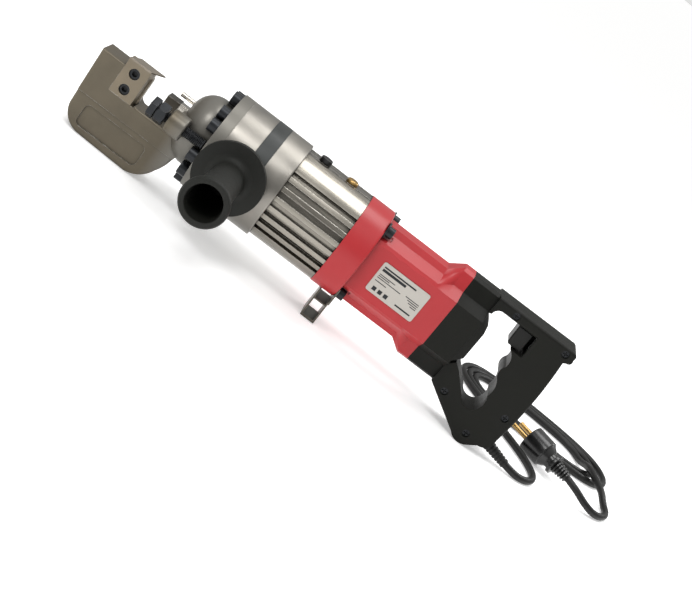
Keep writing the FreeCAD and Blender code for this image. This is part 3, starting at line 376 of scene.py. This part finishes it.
def mixed(tree, factor, first, second):
    """Colour mix of a socket and a plain colour, by a socket's factor."""
    node = tree.nodes.new("ShaderNodeMix")
    node.data_type = "RGBA"
    tree.links.new(factor, node.inputs["Factor"])
    tree.links.new(first, node.inputs["A"])
    node.inputs["B"].default_value = (*second, 1)
    return node.outputs["Result"]


def times(tree, first, second):
    node = tree.nodes.new("ShaderNodeMath")
    node.operation = "MULTIPLY"
    tree.links.new(first, node.inputs[0])
    tree.links.new(second, node.inputs[1])
    return node.outputs["Value"]


def material(name, colour, roughness, metallic=0.0, grain=0.1, grain_scale=900.0, patches=0.12,
             patch_scale=18.0, brushed=0.0, edge_radius=0.0006, coat=0.0, specular=0.4, wear=0.0,
             wear_colour=(0.5, 0.48, 0.44), dirt=0.5, far_colour=None):
    """Patchy, finely grained surface with soft worn edges and painted shade in its hollows (ambient occlusion
    darkens the base colour).

    brushed draws the grain out along the tool, and far_colour takes over behind the dome of the head.
    """
    made = bpy.data.materials.new(name)
    made.use_nodes = True
    tree = made.node_tree
    shader = tree.nodes["Principled BSDF"]
    shader.inputs["Metallic"].default_value = metallic
    shader.inputs["Coat Weight"].default_value = coat
    shader.inputs["Coat Roughness"].default_value = 0.3
    shader.inputs["Specular IOR Level"].default_value = specular
    place = tree.nodes.new("ShaderNodeTexCoord")
    stretch = tree.nodes.new("ShaderNodeMapping")
    stretch.inputs["Scale"].default_value = (1.0, 1.0 + 12.0 * brushed, 1.0 + 12.0 * brushed)
    tree.links.new(place.outputs["Object"], stretch.inputs["Vector"])
    vector = stretch.outputs["Vector"]
    patch = noise(tree, vector, patch_scale, 6.0)
    fine = noise(tree, vector, grain_scale, 4.0)

    ramp = tree.nodes.new("ShaderNodeValToRGB")
    ramp.color_ramp.elements[0].position = 0.3
    ramp.color_ramp.elements[1].position = 0.7
    ramp.color_ramp.elements[0].color = (*[value * (1 - patches) for value in colour], 1)
    ramp.color_ramp.elements[1].color = (*[min(1.0, value * (1 + patches)) for value in colour], 1)
    tree.links.new(patch, ramp.inputs["Fac"])
    surface = ramp.outputs["Color"]
    if far_colour:
        split = tree.nodes.new("ShaderNodeSeparateXYZ")
        tree.links.new(place.outputs["Object"], split.inputs["Vector"])
        surface = mixed(tree, mapped(tree, split.outputs["X"], 0.036, 0.050, 0.0, 0.9), surface, far_colour)

    edges = tree.nodes.new("ShaderNodeBevel")
    edges.samples = 4
    edges.inputs["Radius"].default_value = edge_radius
    if wear:
        facing = tree.nodes.new("ShaderNodeVectorMath")
        facing.operation = "DOT_PRODUCT"
        geometry = tree.nodes.new("ShaderNodeNewGeometry")
        tree.links.new(edges.outputs["Normal"], facing.inputs[0])
        tree.links.new(geometry.outputs["Normal"], facing.inputs[1])
        edge_mask = mapped(tree, facing.outputs["Value"], 0.995, 0.93, 0.0, wear)
        scuffs = mapped(tree, noise(tree, vector, 160.0, 5.0), 0.42, 0.6, 0.15, 1.0)
        surface = mixed(tree, times(tree, edge_mask, scuffs), surface, wear_colour)
    # painted shade: ambient occlusion darkens the base colour towards near black in hollows and grooves,
    # where shade falls
    if dirt:
        hollow = tree.nodes.new("ShaderNodeAmbientOcclusion")
        hollow.samples = 6
        hollow.inputs["Distance"].default_value = 0.005
        painted_shade_mask = mapped(tree, hollow.outputs["AO"], 0.25, 0.9, dirt, 0.0)
        surface = mixed(tree, painted_shade_mask, surface, [value * 0.12 for value in colour])
    tree.links.new(surface, shader.inputs["Base Color"])

    varied = mapped(tree, patch, 0.3, 0.7, max(0.05, roughness - 0.09), min(1.0, roughness + 0.09))
    tree.links.new(varied, shader.inputs["Roughness"])
    bump = tree.nodes.new("ShaderNodeBump")
    bump.inputs["Strength"].default_value = grain
    bump.inputs["Distance"].default_value = 0.0002
    tree.links.new(fine, bump.inputs["Height"])
    tree.links.new(edges.outputs["Normal"], bump.inputs["Normal"])
    tree.links.new(bump.outputs["Normal"], shader.inputs["Normal"])
    return made


def make_materials():
    made = {}

    def add(name, *values, **extras):
        made[name] = material(name, *values, **extras)

    add("cast_steel", (0.116, 0.098, 0.069), 0.40, 0.50, grain=0.30, patches=0.16, patch_scale=34, wear=0.8,
        far_colour=(0.18, 0.173, 0.155))
    add("tool_steel", (0.195, 0.162, 0.115), 0.40, 0.50, grain=0.15, grain_scale=1300, patch_scale=60,
        wear=0.6)
    add("dark_tool_steel", (0.055, 0.048, 0.038), 0.35, 0.8, grain=0.2, wear=0.7)
    add("sheet_steel", (0.26, 0.225, 0.18), 0.36, 0.7, brushed=0.5)
    add("black_oxide", (0.020, 0.022, 0.025), 0.36, 0.5, patches=0.25, patch_scale=120, wear=0.35,
        wear_colour=(0.16, 0.16, 0.16))
    add("bright_steel", (0.50, 0.47, 0.42), 0.22, 0.95, grain=0.05, brushed=0.6)
    add("spring_steel", (0.25, 0.25, 0.25), 0.35, 0.9)
    add("machined_steel", (0.27, 0.255, 0.23), 0.34, 0.90, grain=0.12, grain_scale=1500, patches=0.14,
        patch_scale=30, wear=0.6, wear_colour=(0.6, 0.58, 0.54))
    add("band_paint", (0.033, 0.036, 0.035), 0.42, 0.2, grain=0.15, patches=0.2, patch_scale=60)
    # strong painted shade darkens the grooves between the ribs
    add("ribbed_aluminium", (0.30, 0.28, 0.243), 0.24, 1.0, grain=0.04, grain_scale=700, brushed=1.0,
        wear=0.45, wear_colour=(0.85, 0.83, 0.78), dirt=0.95, edge_radius=0.0009)
    add("valve_black", (0.010, 0.010, 0.010), 0.4)
    add("brass", (0.42, 0.27, 0.10), 0.28, 0.95)
    add("seal_rubber", (0.012, 0.012, 0.012), 0.6)
    add("gear_steel", (0.30, 0.29, 0.27), 0.35, 0.9)
    add("lamination_steel", (0.20, 0.20, 0.21), 0.45, 0.8, grain=0.3, grain_scale=1200)
    add("winding_copper", (0.45, 0.18, 0.07), 0.35, 0.8, grain=0.5)
    add("black_plastic", (0.0080, 0.0083, 0.0065), 0.52, grain=0.45, grain_scale=1500, patches=0.2,
        patch_scale=30, specular=0.15, wear=0.25, wear_colour=(0.05, 0.05, 0.047))
    add("red_paint", (0.42, 0.023, 0.028), 0.40, grain=0.08, patches=0.06, patch_scale=12, coat=0.15,
        specular=0.3, wear=0.35, wear_colour=(0.60, 0.10, 0.10))
    add("foot_steel", (0.10, 0.092, 0.075), 0.38, 0.7, grain=0.2, wear=0.6)
    add("label_plate", (0.46, 0.437, 0.40), 0.38, 0.35, grain=0.05, patches=0.05, edge_radius=0.0002)
    add("trigger_plastic", (0.008, 0.008, 0.007), 0.45, grain=0.2, grain_scale=1500, specular=0.25)
    add("grip_rubber", (0.0100, 0.0105, 0.0085), 0.55, grain=0.5, grain_scale=1800, patches=0.2,
        patch_scale=40, specular=0.25, wear=0.3, wear_colour=(0.05, 0.05, 0.047))
    add("cord_rubber", (0.0085, 0.0085, 0.0080), 0.46, grain=0.15, patches=0.2, patch_scale=60, specular=0.3)
    add("plug_plastic", (0.008, 0.008, 0.008), 0.24, grain=0.05, coat=0.3, specular=0.4)
    return made


def paint_cad(materials):
    for entry in frame["record"]["subparts"]:
        for material_slot in frame["nodes"][entry["node"]].material_slots:
            material_slot.material = materials[entry["material_slot"]]


# ---------- studio ----------

FLOOR_Z = -0.0002
FLOOR_HALF = 60.0
LIT_POINT = Vector((0.18, 0.0, 0.06))

def area_light(name, place, size, power):
    data = bpy.data.lights.new(name, "AREA")
    data.shape = "DISK"
    data.size = size
    data.energy = power
    light = bpy.data.objects.new(name, data)
    light.location = place
    light.rotation_euler = (LIT_POINT - Vector(place)).to_track_quat("-Z", "Y").to_euler()
    bpy.context.scene.collection.objects.link(light)


def add_studio():
    floor_mesh = bmesh.new()
    bmesh.ops.create_grid(floor_mesh, x_segments=1, y_segments=1, size=FLOOR_HALF)
    floor = add_piece("floor", floor_mesh)
    floor.location = (0.2, 0.0, FLOOR_Z)
    pale = bpy.data.materials.new("floor_pale")
    pale.use_nodes = True
    shader = pale.node_tree.nodes["Principled BSDF"]
    shader.inputs["Base Color"].default_value = (0.9, 0.9, 0.9, 1)
    shader.inputs["Roughness"].default_value = 0.95
    shader.inputs["Specular IOR Level"].default_value = 0.1
    shader.inputs["Emission Color"].default_value = (1.0, 1.0, 1.0, 1)
    shader.inputs["Emission Strength"].default_value = 0.38
    floor.data.materials.append(pale)

    world = bpy.data.worlds.new("studio")
    world.use_nodes = True
    tree = world.node_tree
    background = tree.nodes["Background"]
    background.inputs["Strength"].default_value = 0.8
    direction = tree.nodes.new("ShaderNodeTexCoord")
    split = tree.nodes.new("ShaderNodeSeparateXYZ")
    tree.links.new(direction.outputs["Generated"], split.inputs["Vector"])
    sky = tree.nodes.new("ShaderNodeValToRGB")
    sky.color_ramp.elements.new(0.5)
    for element, position, level in zip(sky.color_ramp.elements, (0.03, 0.08, 0.75), (0.95, 0.32, 1.0)):
        element.position = position
        element.color = (level, level, level * 0.99, 1)
    tree.links.new(split.outputs["Z"], sky.inputs["Fac"])
    tree.links.new(sky.outputs["Color"], background.inputs["Color"])
    bpy.context.scene.world = world

    area_light("key", (-0.35, -0.9, 1.5), 0.55, 11)
    area_light("top", (0.3, 0.25, 1.6), 0.8, 9)
    area_light("rim", (1.1, 0.7, 0.9), 0.4, 4)
    bpy.context.scene.view_settings.view_transform = "Standard"


# ---------- assembly ----------

add_camera()
cord, cord_length = add_cord()
materials = make_materials()
plug = add_plug(materials)
boot = add_boot(materials)
dress(cord, "tool_body", "cord_rubber", materials, "cord_lead", "cord_coil", "cord_tail")
paint_cad(materials)
add_stopper_screw(materials)
add_label_marks(materials)
add_studio()
